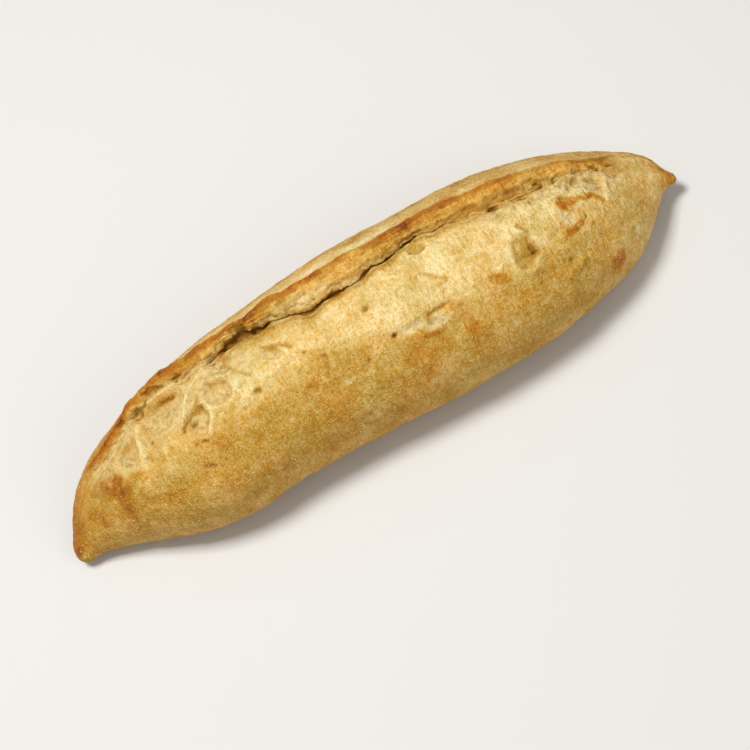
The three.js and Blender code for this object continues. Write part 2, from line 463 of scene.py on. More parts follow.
    def ring(self, x: float) -> list[Vector]:
        """One closed cross section, whose last point is its first one again.

        Args:
            x: the place along the loaf.

        Returns:
            Points of (across, up), from the shoulder over the top and back round the underside.
        """
        oval = self.oval(x)
        stops = self.stops(x, oval)
        whole = smooth(self.opening_value(4, x), 0, self.full_relief_depth)
        all_steps = sum(stop.steps for stop in stops)
        outline, before = [], 0
        for stop in stops:
            closed = lerp(self.shoulder, self.ear_foot, before / all_steps)
            outline.append(oval.top(lerp(closed, stop.share, whole), stop.height))
            before += stop.steps
        points = []
        for i, stop in enumerate(stops[:-1]):
            near = [outline[min(max(i + k, 0), len(outline) - 1)] for k in (-1, 0, 1, 2)]
            for step in range(stop.steps):
                points.append(self.catmull_rom(near, step / stop.steps))
        first, last = oval.angle_of(self.ear_foot), oval.angle_of(self.shoulder) - 2 * math.pi
        turns = (
            (first, self.underside_from, self.rear_steps),
            (self.underside_from, self.underside_to, self.underside_steps),
            (self.underside_to, last, self.front_steps),
        )
        for start, end, steps in turns:
            points += [oval.point(lerp(start, end, step / steps)) for step in range(steps)]
        points.append(points[0].copy())
        return [Vector((p.x, max(p.y, 0.0))) for p in points]

    @staticmethod
    def catmull_rom(near: list[Vector], t: float) -> Vector:
        """A point on the curve between the middle two of four points, as on the solid's own spline.

        Args:
            near: the four points.
            t: the share of the way from the second point to the third.

        Returns:
            The point.
        """
        p0, p1, p2, p3 = near
        v0, v1 = (p2 - p0) * 0.5, (p3 - p1) * 0.5
        return (
            p1
            + v0 * t
            + ((p2 - p1) * 3 - v0 * 2 - v1) * (t * t)
            + ((p1 - p2) * 2 + v0 + v1) * (t * t * t)
        )

    def spots(self) -> list[tuple[Stretch, float]]:
        """Says where the points of a ring lie.

        Returns:
            For each point, its stretch and its share of the way along that stretch.
        """
        oval = self.oval(0.0)
        counts: dict[Stretch, int] = {}
        for stop in self.stops(0.0, oval):
            counts[stop.stretch] = counts.get(stop.stretch, 0) + stop.steps
        counts[Stretch.REAR] = self.rear_steps
        counts[Stretch.BASE] = self.underside_steps
        counts[Stretch.FRONT] = self.front_steps
        found = [(kind, k / counts[kind]) for kind in Stretch for k in range(counts[kind])]
        found.append((Stretch.FRONT, 1.0))
        return found


class MarkKind(Enum):
    """What a mark on the crust is."""

    PIT = "small hole with soft sides"
    NOTCH = "torn pocket, deepest under its far side"
    HOLLOW = "shallow torn bubble with crumb on its floor"
    DISH = "burst blister with a thin rim"
    DENT = "smooth low place"
    CRUMB = "patch where the pale crumb shows"
    BROWN = "patch that baked darker"


@dataclass(frozen=True)
class Mark:
    """One feature of the crust: an ellipse whose long side is turned from the loaf's length."""

    kind: MarkKind
    along: float
    across: float
    long: float
    wide: float
    turn: float
    amount: float


@dataclass(frozen=True)
class Fold:
    """A strand of stretched dough that stands up, or a crease where the height is below zero."""

    path: tuple[tuple[float, float], ...]
    width: float
    height: float
    bake: float = 0.0


@dataclass
class Look:
    """What the finish needs to know about one point of the crust. Each value is from 0 to 1.

    They say how brown it baked, which in pits, hollows, dents, creases and by the crevice also
    holds painted shade, how much torn crumb shows, how much painted shade darkens it, how much
    of the old floured skin is left, how glossy it is, and how orange its brown is.
    """

    bake: float = 0.4
    crumb: float = 0.0
    # Painted shade: dark brown put into hollows, pits, creases, the open crevice and under the ear.
    painted_shade: float = 0.0
    skin: float = 0.0
    gloss: float = 0.0
    warmth: float = 0.0


LOOK_NAMES = [value.name for value in fields(Look)]


@dataclass(frozen=True)
class SeatedMark:
    """A mark laid on the loaf: its middle, and the surface's directions along its two sides."""

    mark: Mark
    middle: Vector
    long_side: Vector
    wide_side: Vector

    def locate(self, place: Vector) -> tuple[float, float]:
        """Where a place lies from the mark's middle, in half sides along and across it."""
        away = place - self.middle
        return away.dot(self.long_side) / self.mark.long, away.dot(self.wide_side) / self.mark.wide


@dataclass(frozen=True)
class SeatedFold:
    """A fold laid on the loaf, point by point."""

    fold: Fold
    path: tuple[Vector, ...]

    def nearness(self, place: Vector) -> float:
        """1 on the fold's line, falling to 0 a width away from it."""
        least = min(self.distance(place, a, b) for a, b in zip(self.path, self.path[1:]))
        return math.exp(-2 * (least / self.fold.width) ** 2)

    @staticmethod
    def distance(place: Vector, a: Vector, b: Vector) -> float:
        """How far a place is from a straight stretch.

        Args:
            place: the place.
            a: the stretch's start.
            b: its end.

        Returns:
            The distance.
        """
        run = b - a
        t = min(max((place - a).dot(run) / run.length_squared, 0.0), 1.0)
        return (place - a - run * t).length


@dataclass(frozen=True)
class Spot:
    """One point of the crust before its relief, with what its stretch needs to know about it."""

    place: Vector
    stretch: Stretch
    share: float
    # How wide the crevice stands open there, how the baking wanders, and how far the cut opened.
    gape: float
    blotch: float
    opened: float


# The kinds by their short names, for the table of marks.
PIT, NOTCH, HOLLOW, DISH, DENT, CRUMB, BROWN = MarkKind


@dataclass(frozen=True)
class CrustRelief:
    """The crust's fine relief, its baking and its painted shade, point by point.

    A mark's numbers are its place along and across the loaf, its half length and half width, all
    in millimetres, its turn in degrees, and its depth in millimetres or its strength. A fold has
    its path along and across the loaf, its width, its height and how much darker it baked.
    """

    crease_front: float = 0.4
    fold_seat: float = 0.7
    # How far a mark reaches, in its own half sides.
    mark_reach: float = 1.6
    # Stretches of the loaf: from, to, and the distance over which each fades at its ends.
    opened_span: Span = (-100, 104, 8)
    torn_left_span: Span = (-98, -40, 10)
    torn_right_span: Span = (58, 104, 8)
    torn_lip_span: Span = (-96, 100, 6)
    # How far the crease moves towards the crevice, and on which stretch.
    crease_moves: Rows = (
        (0.06, -58, -51, 4),
        (-0.02, -88, -68, 6),
        (-0.17, 12, 66, 20),
        (-0.1, -44, -33, 5),
    )
    # How wide the crevice stands open where its painted shade starts, and where it is darkest.
    gaping_range: tuple[float, float] = (0.1, 0.6)
    # How much further the torn crumb reaches up the ear's face, and on which stretch.
    face_reaches: Rows = ((0.4, -18, -1, 5), (0.3, 52, 76, 6))
    # How far each part baked, from 0 for pale dough to 1 for dark brown. A few of these levels
    # stand for painted shade or a painted highlight, as said beside them.
    golden_bake: tuple[float, float] = (0.43, 0.32)
    pale_bake: float = 0.16
    unopened_bake: float = 0.42
    crevice_bake: float = 0.2
    # The inside of the open crevice: a darker bake that stands for painted shade.
    mouth_painted_shade: float = 0.34
    face_bake: float = 0.22
    edge_bake: float = 0.4
    behind_ear_bake: float = 0.17
    skin_bake: float = 0.4
    underside_bake: float = 0.56
    # Strands are paler, partly as stretched dough and partly as a painted highlight.
    strand_pale_and_highlight: float = 0.12
    # Creases are darkened with painted shade.
    crease_painted_shade: float = 0.44
    marks: tuple[Mark, ...] = (
        # Torn bubbles and pockets near the left end.
        Mark(HOLLOW, -71.5, 4.5, 11.5, 7.5, -15, 2.2),
        Mark(NOTCH, -69.5, 13, 4.2, 1.2, -12, 0.9),
        Mark(NOTCH, -67.5, 8.5, 4.8, 1.1, -15, 1.0),
        Mark(PIT, -60, 11.5, 2.6, 1.1, -10, 0.9),
        Mark(PIT, -56.5, 8.5, 1.2, 1.1, 0, 0.8),
        Mark(PIT, -84.5, 11, 1.4, 1.9, -40, 1.2),
        Mark(NOTCH, -78, 10, 0.9, 2.2, -50, 0.8),
        Mark(PIT, -77.5, -4, 0.9, 0.8, 0, 0.6),
        Mark(PIT, -82, -7, 0.9, 0.8, 0, 0.8),
        Mark(DENT, -73.5, -10, 1.6, 1.3, 0, 0.4),
        Mark(HOLLOW, -87, -1.5, 7, 6, -10, 1.0),
        Mark(HOLLOW, -59.5, -8.5, 4.4, 5.6, -34, 1.6),
        Mark(PIT, -62, -8, 1.1, 1.1, 0, 0.9),
        Mark(NOTCH, -57.5, -4.5, 1.8, 1.1, -33, 0.7),
        Mark(HOLLOW, -49.5, -3.5, 6, 4.8, -15, 1.6),
        Mark(NOTCH, -51.5, 1, 1.5, 1, -36, 0.9),
        Mark(PIT, -47.5, -5.5, 0.8, 1.1, -34, 0.6),
        Mark(HOLLOW, -45, 6.5, 5.5, 5, -43, 1.5),
        Mark(PIT, -44, 5.5, 1.5, 1.4, 0, 1.2),
        Mark(NOTCH, -38, -11, 1.7, 1.3, -32, 1.2),
        Mark(PIT, -44.5, -13.5, 0.8, 0.7, 0, 0.5),
        Mark(NOTCH, -61.5, -15, 1.6, 1, -31, 0.8),
        Mark(PIT, -64.5, -14, 0.8, 0.7, 0, 0.5),
        Mark(NOTCH, -64.5, -21.5, 2.6, 1.1, -19, 0.7),
        # The middle of the bloom.
        Mark(HOLLOW, -27.5, -2.5, 4, 2.6, -37, 1.1),
        Mark(PIT, 6.8, -7, 1.3, 1.1, 0, 1.1),
        Mark(PIT, -18, -8.5, 1, 0.8, 0, 0.6),
        Mark(NOTCH, -13, -13, 0.9, 1.4, -31, 0.6),
        Mark(DENT, -7, -18, 4.5, 3, -11, 0.6),
        Mark(PIT, -1, -21, 1, 0.9, 0, 0.5),
        Mark(DISH, 31.5, 3.5, 3.6, 2.4, -30, 1.3),
        Mark(PIT, 29.5, 3.2, 1.1, 0.9, 16, 0.7),
        Mark(PIT, 38, 5.5, 1.2, 1, -40, 0.7),
        # The torn strip in front of it.
        Mark(PIT, 10.3, -19, 1.2, 1, 0, 1.7),
        Mark(DENT, 19, -20.5, 8, 2.6, -6, 0.7),
        Mark(CRUMB, 17.5, -20, 5.4, 1.9, -6, 0.45),
        Mark(CRUMB, 26, -21.4, 4, 2.8, -20, 1.0),
        Mark(CRUMB, 23.5, -22.3, 3.6, 1.8, 0, 1.0),
        Mark(BROWN, 21.5, -24.4, 3.4, 1.3, -14, 0.2),
        Mark(BROWN, 31.8, -20.6, 2.2, 1.3, -10, 0.2),
        Mark(NOTCH, 26.5, -19.3, 4, 1.3, 0, 0.6),
        # The burst blister, and the tears near the right end.
        Mark(DISH, 61.6, -16.3, 4.6, 6.8, -31, 1.8),
        Mark(PIT, 65.2, -17, 2.6, 1.1, -76, 1.1),
        Mark(PIT, 64.8, -17.8, 1, 0.6, -30, 0.8),
        Mark(PIT, 61, 2.6, 2.6, 1.0, -20, 1.0),
        Mark(NOTCH, 68.5, 5, 2.3, 1.3, -6, 0.4),
        Mark(PIT, 71.6, 5.2, 0.9, 0.8, 0, 0.6),
        Mark(NOTCH, 71, 1.6, 1.7, 1, -30, 0.7),
        Mark(PIT, 72.6, -0.7, 0.7, 1.1, -30, 1.0),
        Mark(NOTCH, 77.6, 3.8, 2.4, 1.1, -13, 0.8),
        Mark(PIT, 84.2, 4, 1.3, 0.9, -24, 1.0),
        Mark(PIT, 85, 0.9, 1, 0.8, 0, 0.7),
        Mark(NOTCH, 82.4, -4.6, 2, 0.9, -25, 1.0),
        Mark(NOTCH, 90.2, 1, 2.7, 1.5, 8, 0.9),
        Mark(PIT, 97, -3.2, 1, 0.8, 0, 0.6),
        Mark(NOTCH, 98.5, 4.8, 2.4, 1.1, -18, 0.8),
        Mark(PIT, 105, 1, 1.1, 1, 0, 0.6),
        Mark(HOLLOW, 95.5, -2, 6.5, 3.8, -11, 1.0),
        Mark(HOLLOW, 103.5, 1.5, 4, 3, -20, 0.9),
        Mark(HOLLOW, 88, 0, 5, 3, -8, 0.8),
        Mark(CRUMB, 80.6, -12, 4.6, 2.4, -53, 1.1),
        Mark(PIT, 86, -13, 0.5, 1.1, -26, 0.8),
        Mark(PIT, 74.3, -23.5, 0.9, 0.8, 0, 0.6),
        Mark(PIT, 61.5, -26.5, 1, 0.8, 0, 0.6),
        Mark(DENT, 89, -19, 2.6, 2.2, -32, 0.5),
        # Scales and darker patches.
        Mark(BROWN, 81, -7, 3, 2.2, -74, 0.46),
        Mark(BROWN, 84.5, -6.6, 2.8, 1.8, 8, 0.42),
        Mark(BROWN, 89.7, -6.2, 4.2, 1.6, -3, 0.38),
        Mark(BROWN, 94.5, -8.6, 3.8, 1.4, -30, 0.32),
        Mark(BROWN, 82.3, -14.7, 2.8, 1.5, 13, 0.44),
        Mark(BROWN, 78.8, -16, 3.2, 1.6, 8, 0.32),
        Mark(BROWN, 49.5, -19.8, 4, 2, -31, 0.34),
        Mark(BROWN, 34.2, -28.2, 2.6, 2.2, 0, 0.16),
        Mark(BROWN, 89, -25.5, 4, 4, -51, 0.34),
        Mark(BROWN, -20.8, -18.5, 2.6, 2.2, -31, 0.14),
        Mark(BROWN, -100.5, -1.5, 3, 1.8, -38, 0.2),
        Mark(BROWN, -96, -3.2, 3.6, 1.8, -35, 0.2),
        Mark(BROWN, -98, -4.5, 7, 5, -31, 0.24),
        Mark(BROWN, -95.8, -9.4, 5.5, 4.4, -78, 0.16),
        Mark(BROWN, -97.5, -13.8, 3.6, 4, -16, 0.2),
        Mark(BROWN, -88, -8.5, 7, 2.4, -14, 0.14),
        Mark(DENT, -90.4, -13.4, 1.4, 1.3, 0, 0.4),
        Mark(BROWN, -110, -6, 3.4, 5.5, 38, 0.14),
        Mark(BROWN, -122.5, -7, 3, 2.4, 0, 0.26),
        Mark(BROWN, -84, -19, 8, 2.4, -12, 0.1),
        # The ear's browned edge.
        Mark(BROWN, -27, 13.3, 5, 1.8, 7, 0.32),
        Mark(BROWN, -9.7, 12.3, 3.6, 1.6, 8, 0.3),
        Mark(BROWN, -3.3, 12.5, 4.4, 1.6, -13, 0.3),
        Mark(BROWN, 8.6, 12.1, 4, 1.9, 5, 0.2),
        Mark(BROWN, 29.7, 11, 7, 1.7, 7, 0.34),
        Mark(BROWN, 48.7, 11.6, 7, 2.2, -6, 0.24),
        Mark(BROWN, 102, 6.7, 7, 1.8, -26, 0.14),
        Mark(BROWN, -8.6, -31.4, 5, 3.6, 0, 0.2),
        Mark(CRUMB, -8.6, -31.4, 4.2, 2.6, 0, 0.5),
        Mark(BROWN, 14.8, -31, 3, 2.4, 0, 0.1),
        Mark(CRUMB, -46.2, -29.4, 1.4, 1, 0, 0.9),
    )
    folds: tuple[Fold, ...] = (
        Fold(((-65, -7.5), (-61.3, -1), (-58.5, 2), (-51, 7.5)), 1.4, 2.1),
        Fold(((-55, -5), (-54, -8.3), (-58.8, -13.6)), 1.2, 0.9),
        Fold(((-58, -2.2), (-62, -5.5), (-66, -8.4)), 0.8, -1.1),
        Fold(((-56.5, -1.5), (-59.5, -4.5)), 1.4, 0.7, 0.2),
        Fold(((-84, -9), (-82, -1), (-80, 6)), 2.2, 0.4),
        Fold(((-75, 11.5), (-66, 11), (-60, 8)), 1.1, 1.2),
        Fold(((-43.6, 3.5), (-40, -2), (-37.3, -5)), 0.7, -0.5),
        Fold(((-49.5, 5), (-48, 9.5), (-43, 10.5)), 1.0, 0.6),
        Fold(((-29.5, 1.6), (-23, -2.1), (-21, -4.4)), 0.8, -0.5),
        Fold(((-12.5, -14), (-15.2, -19)), 0.9, -0.4),
        Fold(((-11, -22.9), (-1.6, -24.1)), 1.7, 0.5),
        Fold(((28.4, -6.4), (31.7, -10.2), (34.5, -12)), 0.9, 0.7, 0.2),
        Fold(((15.5, -22.2), (20, -23.2), (23, -24.2)), 1.0, 1.0, 0.3),
        Fold(((29.5, -23), (31, -21), (34, -20.5)), 1.4, 0.8, 0.14),
        Fold(((28.5, -18.5), (33.5, -19.8)), 0.7, -0.5),
        Fold(((64, -7.5), (66, -11)), 0.9, -0.4),
        Fold(((77.5, -24.8), (70.5, -27.6)), 2.0, 0.9, 0.3),
        Fold(((100.6, 1.4), (98, -4), (95.7, -9)), 1.7, 0.6),
        Fold(((88, 4.5), (84, -2.5), (78, -3.5)), 0.9, 0.9),
        Fold(((73, 7), (79, 1), (86, 3)), 0.8, 0.9),
    )

    @staticmethod
    def seat(form: LoafForm, shift: float, x: float, y: float) -> tuple[Vector, Vector, Vector]:
        """Finds a place on the plain upper crust.

        Args:
            form: the loaf.
            shift: how far the loaf's table stands from the frame's middle.
            x: the place along it.
            y: the place across it.

        Returns:
            The point on the crust, and the surface's directions along the loaf and across it.
        """
        oval = form.oval(x)
        # A place stays just short of the oval's widest points, where its slope is upright.
        share = min(max((y - shift - oval.middle) / oval.half_width, -0.98), 0.98)
        point = oval.top(share, 0.0)
        near = oval.top(share + 0.01, 0.0)
        across = Vector((0, near.x - point.x, near.y - point.y)).normalized()
        further = form.oval(x + 1).top(share, 0.0)
        along = Vector((1, further.x - point.x, further.y - point.y))
        along = (along - across * along.dot(across)).normalized()
        return Vector((x, point.x + shift, point.y)), along, across

    def seated(self, form: LoafForm, shift: float) -> tuple[list[SeatedMark], list[SeatedFold]]:
        """Lays every mark and fold on the loaf.

        Args:
            form: the loaf.
            shift: how far the loaf's table stands from the frame's middle.

        Returns:
            The marks and the folds, in their order.
        """
        marks = []
        for mark in self.marks:
            middle, along, across = self.seat(form, shift, mark.along, mark.across)
            c, s = math.cos(math.radians(mark.turn)), math.sin(math.radians(mark.turn))
            marks.append(SeatedMark(mark, middle, along * c + across * s, across * c - along * s))
        folds = []
        for fold in self.folds:
            seats = [self.seat(form, shift, *place) for place in fold.path]
            path = tuple(
                point + along.cross(across) * self.fold_seat for point, along, across in seats
            )
            folds.append(SeatedFold(fold, path))
        return marks, folds

    @staticmethod
    def fbm(place: Vector, size: float, octaves: int = 3) -> float:
        """Soft noise between about -1 and 1 whose lumps are about size millimetres across."""
        return noise.fractal(place / size, 0.8, 2.0, octaves)

    @staticmethod
    def layered(place: Vector, along: float, around: float, octaves: int, fall: float) -> float:
        """Soft noise in layers, whose size in millimetres differs along the loaf and around it."""
        stretched = Vector((place.x / along, place.y / around, place.z / around))
        return noise.fractal(stretched, fall, 2.0, octaves)

    @staticmethod
    def walls(place: Vector, size: float) -> float:
        """Thin walls between cells about size millimetres across: 1 on a wall and 0 in a cell."""
        distances, _ = noise.voronoi(place / size)
        return 1 - smooth(distances[1] - distances[0], 0.0, 0.28)

    def crease(self, x: float) -> float:
        """Where the golden part of the bloom turns pale.

        Args:
            x: the place along the loaf.

        Returns:
            The share of the way from the shoulder to the crevice.
        """
        rise = 0.3 * smooth(-x, 82, 100) + 0.3 * smooth(x, 84, 104)
        for move, *span in self.crease_moves:
            rise += move * band(x, *span)
        return self.crease_front + rise + 0.05 * noise.noise(Vector((x / 11, 0.3, 0)))

    def closed_bake(self, x: float) -> float:
        """The baking beyond the ends of the cut, where the crust never opened."""
        return self.unopened_bake - 0.16 * smooth(x, 92, 106)

    def spongy(self, x: float, share: float) -> float:
        """How torn and open the bloom is.

        Args:
            x: the place along the loaf.
            share: the share of the way from the shoulder to the crevice.

        Returns:
            0 where its skin is whole, up to 1 where it is torn.
        """
        front = 0.48 - 0.06 * band(x, -88, -68, 6)
        left = band(x, *self.torn_left_span) * smooth(share, front, front + 0.16)
        start = lerp(0.72, 0.5, smooth(x, 70, 90))
        right = band(x, *self.torn_right_span) * smooth(share, start, 0.86)
        lip = 0.6 * band(x, *self.torn_lip_span) * smooth(share, 0.92, 0.98)
        return max(0.85 * left, right, lip)

    def at(
        self,
        place: Vector,
        stretch: Stretch,
        share: float,
        gape: float,
        marks: list[SeatedMark],
        folds: list[SeatedFold],
    ) -> tuple[float, Look]:
        """The relief, the baking and the painted shade at one point.

        Args:
            place: the point on the plain form, in millimetres.
            stretch: the stretch of the section that it lies on.
            share: how far along that stretch it is.
            gape: how wide the crevice stands open there, from 0 to 1.
            marks: the marks that may reach it.
            folds: the folds that may reach it.

        Returns:
            How far the surface is lifted, in millimetres, and its look.
        """
        lumps = 0.34 * self.fbm(place, 17, 2) + 0.17 * self.fbm(place, 6, 2)
        blotch = self.fbm(place + Vector((31, 7, 3)), 12, 3)
        spot = Spot(place, stretch, share, gape, blotch, band(place.x, *self.opened_span))
        own = {
            Stretch.BLOOM: self.bloom,
            Stretch.CREVICE: self.crevice,
            Stretch.FACE: self.face,
            Stretch.BACK: self.back,
        }
        lift, look = own.get(stretch, self.plain)(spot)
        if stretch is Stretch.BASE:
            lumps = 0.0
        for mark in marks:
            lift += self.marked(mark, place, look)
        for fold in folds:
            lift = self.folded(fold, place, lift, look)
        tips = 0.26 * smooth(-place.x, 104, 125) + 0.26 * smooth(place.x, 118, 124)
        look.bake += tips * (0.85 + 0.6 * blotch)
        return lumps + lift, look

    def bloom(self, spot: Spot) -> tuple[float, Look]:
        """The front side of the cut: golden by the shoulder, then pale and stretched, partly torn.

        Args:
            spot: the point.

        Returns:
            How far the surface is lifted, in millimetres, and its look.
        """
        place, share, blotch, opened = spot.place, spot.share, spot.blotch, spot.opened
        x = place.x
        crease = self.crease(x)
        pale = smooth(share, crease - 0.08, crease + 0.1) * opened
        whole_patches = smooth(self.fbm(place + Vector((5, 9, 1)), 9, 2), -0.9, -0.1)
        torn = self.spongy(x, share) * opened * whole_patches
        streak = self.layered(place, 1.1, 6, 3, 0.8)
        lift = 0.12 * streak * pale + 0.16 * self.fbm(place, 2.6, 3)
        lift += -0.3 * math.exp(-(((share - crease) / 0.03) ** 2)) * opened
        lift += torn * (0.2 * self.walls(place, 4.5) + 0.22 * self.fbm(place, 1.6, 3))
        lift += torn * (1.0 * self.fbm(place, 9, 2) + 0.5 * self.fbm(place, 4.5, 2))

        golden = lerp(*self.golden_bake, smooth(share, 0.02, crease)) - 0.08 * smooth(x, 70, 95)
        stretched = self.pale_bake + 0.09 * blotch + 0.17 * smooth(-x, 52, 84)
        bake = lerp(golden + 0.08 * blotch, stretched, pale)
        bake = lerp(self.closed_bake(x) + 0.12 * blotch, bake, max(opened, 0.15))
        # Painted shade by the crevice's lip and under the ear, as a darker bake and stored shade.
        gaping = smooth(spot.gape, *self.gaping_range) * opened
        lip_painted_shade = 0.12 + 0.08 * gaping + 0.1 * smooth(x, 60, 80)
        bake += lip_painted_shade * smooth(share, 0.86, 1.0) * opened
        shade = smooth(share, 0.62, 0.92) * band(x, -34, -12, 8)
        shade += 0.7 * smooth(share, 0.8, 0.98) * band(x, -6, 58, 8)
        bake += 0.14 * shade
        look = Look(bake=bake, crumb=torn, gloss=0.6 * pale * (1 - 0.6 * torn) + 0.2 * (1 - pale))
        look.skin = 0.75 * (1 - smooth(share, 0.15, crease)) + 0.08 * (1 - torn)
        look.crumb *= 1 - 0.4 * gaping * smooth(share, 0.9, 1.0)
        look.painted_shade = 0.25 * gaping * smooth(share, 0.92, 1.0) + 0.1 * shade
        return lift, look

    def crevice(self, spot: Spot) -> tuple[float, Look]:
        """The gap between the bloom and the ear, darkened with painted shade where it stands open.

        Args:
            spot: the point.

        Returns:
            How far the surface is lifted, in millimetres, and its look.
        """
        place, share, opened = spot.place, spot.share, spot.opened
        lift = 0.3 * self.fbm(place, 1.8, 3) * opened
        inside = smooth(share, 0.02, 0.3) * (1 - smooth(share, 0.84, 1.0)) * opened
        gaping = smooth(spot.gape, *self.gaping_range)
        right = smooth(place.x, 30, 56)
        # Painted shade inside the open crevice: a darker bake and the stored painted shade.
        bake = lerp(self.crevice_bake + 0.18 * right, self.mouth_painted_shade + 0.26 * inside, gaping)
        bake = lerp(self.closed_bake(place.x), bake, opened)
        crumb = opened * lerp(0.6 - 0.4 * right, 0.2 * (1 - inside), gaping)
        return lift, Look(bake=bake, crumb=crumb, painted_shade=0.75 * inside * gaping)

    def face(self, spot: Spot) -> tuple[float, Look]:
        """The ear's inner face: torn crumb low down, then layered, orange, and darkest at its edge.

        Args:
            spot: the point.

        Returns:
            How far the surface is lifted, in millimetres, and its look.
        """
        place, share, blotch, opened = spot.place, spot.share, spot.blotch, spot.opened
        left, right = smooth(-place.x, 38, 62), smooth(place.x, 5, 50)
        layers = self.layered(place, 7, 0.8, 3, 0.7)
        reach = 0.06
        for further, *span in self.face_reaches:
            reach += further * band(place.x, *span)
        reach += 0.14 * left
        reach += 0.1 * self.fbm(Vector((place.x, 3.0, 8.0)), 6, 2)
        torn = (1 - smooth(share, reach, reach + 0.2)) * opened
        lift = opened * (0.35 * layers + 0.2 * self.fbm(place, 1.6, 3))
        lift += torn * (0.5 * self.walls(place, 3.2) + 0.6 * self.fbm(place, 2.4, 3) - 0.3)

        bake = self.face_bake + 0.22 * left + (0.05 + 0.18 * torn) * right
        bake += 0.12 * share + 0.1 * blotch + 0.12 * layers
        bake += 0.22 * smooth(share, lerp(0.5, 0.74, right), 0.95) * smooth(blotch, -0.5, 0.2)
        look = Look(bake=lerp(self.closed_bake(place.x), bake, opened), gloss=0.2, skin=0.05)
        look.crumb = torn * lerp(0.12, 0.5, left)
        # Painted shade on the torn crumb low on the ear's face, next to the crevice.
        look.painted_shade = torn * (1 - left) * (0.16 + 0.08 * blotch + 0.06 * band(place.x, 48, 70, 6))
        look.warmth = 0.65 * (1 - 0.9 * torn) * opened
        return lift, look

    def back(self, spot: Spot) -> tuple[float, Look]:
        """The ear's crisp edge and the strip of crust behind it.

        Args:
            spot: the point.

        Returns:
            How far the surface is lifted, in millimetres, and its look.
        """
        place, share, blotch = spot.place, spot.share, spot.blotch
        ragged = 0.05 * self.fbm(place, 2.2, 3)
        edge = (1 - smooth(share + ragged, 0.11, 0.2)) * spot.opened
        layers = self.layered(place, 5, 1.2, 2, 0.8)
        lift = 0.14 * self.fbm(place, 2.4, 3) + 0.15 * edge * self.fbm(place, 1.2, 3)
        lift += 0.12 * layers * (1 - edge)
        brown = self.edge_bake + 0.2 * smooth(blotch, -0.5, 0.2)
        brown += 0.1 * smooth(-place.x, 38, 62) - 0.16 * smooth(-place.x, 80, 95)
        pale = self.behind_ear_bake + 0.29 * smooth(-place.x, 66, 84)
        pale += 0.13 * smooth(place.x, 20, 45)
        skin = lerp(pale, self.skin_bake, smooth(share, 0.3, 1.0)) + 0.14 * blotch
        look = Look(bake=lerp(skin, brown, edge), gloss=0.1 + 0.1 * edge, warmth=0.6 * edge)
        look.skin = 0.55 * (1 - edge)
        return lift, look

    def plain(self, spot: Spot) -> tuple[float, Look]:
        """The old floured skin round the back, the underside and the front.

        Args:
            spot: the point.

        Returns:
            How far the surface is lifted, in millimetres, and its look.
        """
        if spot.stretch is Stretch.BASE:
            return 0.0, Look(bake=self.underside_bake + 0.12 * spot.blotch, skin=0.9)
        place = spot.place
        # The front skin is a little darker towards the bottom.
        low = smooth(14 - place.z, 0, 12)
        bake = self.skin_bake + 0.1 * spot.blotch + 0.04 * low - 0.12 * smooth(place.x, 78, 100)
        return 0.16 * self.fbm(place, 3.2, 4), Look(bake=bake, skin=1.0, gloss=0.12)

    def folded(self, seat: SeatedFold, place: Vector, lift: float, look: Look) -> float:
        """Adds one fold's own look to a point's, and lays the fold into the relief there.

        Args:
            seat: the fold.
            place: the point, in millimetres.
            lift: how far the surface is lifted there without the fold, in millimetres.
            look: the point's look, which is changed.

        Returns:
            How far the surface is lifted with the fold, in millimetres.
        """
        fold, near = seat.fold, seat.nearness(place)
        look.crumb *= 1 - 0.85 * near
        if fold.height < 0:
            # A crease is darkened with painted shade.
            look.bake = lerp(look.bake, self.crease_painted_shade, near)
            look.painted_shade = max(look.painted_shade, 0.3 * near)
            return lift + fold.height * near
        # A strand is paler: pale stretched dough, with a painted highlight on the ridge.
        look.bake = lerp(look.bake, self.strand_pale_and_highlight + 1.4 * fold.bake, near)
        look.painted_shade *= 1 - near
        return lerp(lift, fold.height, near)

    def marked(self, seat: SeatedMark, place: Vector, look: Look) -> float:
        """Adds one mark's own look to a point's, and gives the relief it adds there.

        Args:
            seat: the mark.
            place: the point, in millimetres.
            look: the point's look, which is changed.

        Returns:
            How far the mark lifts the surface there, in millimetres.
        """
        mark = seat.mark
        u, v = seat.locate(place)
        away = math.hypot(u, v)
        if away > self.mark_reach:
            return 0.0
        away *= 1 + 0.3 * noise.noise(place / (0.8 * min(mark.long, mark.wide) + 0.4))
        sides = (0.7, 1.12) if mark.kind is DISH else (0.6, 1.1)
        inside = 1 - smooth(away, *sides)
        soft = math.exp(-2 * away * away)
        rim = math.exp(-(((away - 1.08) / 0.18) ** 2))
        if mark.kind is PIT:
            hole = 1 - smooth(away, 0.35, 0.95)
            # Painted shade in the pit: the stored painted shade and a darker bake.
            look.painted_shade = max(look.painted_shade, min(0.7, mark.amount * 0.5) * hole)
            look.crumb *= 1 - 0.9 * hole
            look.bake += 0.2 * hole
            return -mark.amount * inside
        if mark.kind is NOTCH:
            far = smooth(v, -0.8, 0.3)
            # Painted shade under the far wall: the stored painted shade and a darker bake there.
            look.painted_shade = max(look.painted_shade, min(0.5, mark.amount * 0.4) * inside * far)
            look.crumb = max(look.crumb, 0.4 * inside) * (1 - 0.9 * inside * far)
            look.bake += 0.25 * inside * far
            return mark.amount * (0.3 * rim * far - inside * (0.25 + 0.75 * far))
        if mark.kind is HOLLOW:
            # Painted shade on the far side: a darker ochre bake and stored painted shade.
            shaded = inside * smooth(v + 0.3 * self.fbm(place, 3.5, 2), 0.1, 0.8)
            look.crumb = max(look.crumb, 0.9 * inside) * (1 - 0.9 * shaded)
            look.painted_shade = max(look.painted_shade, 0.12 * shaded)
            look.gloss *= 1 - 0.5 * inside
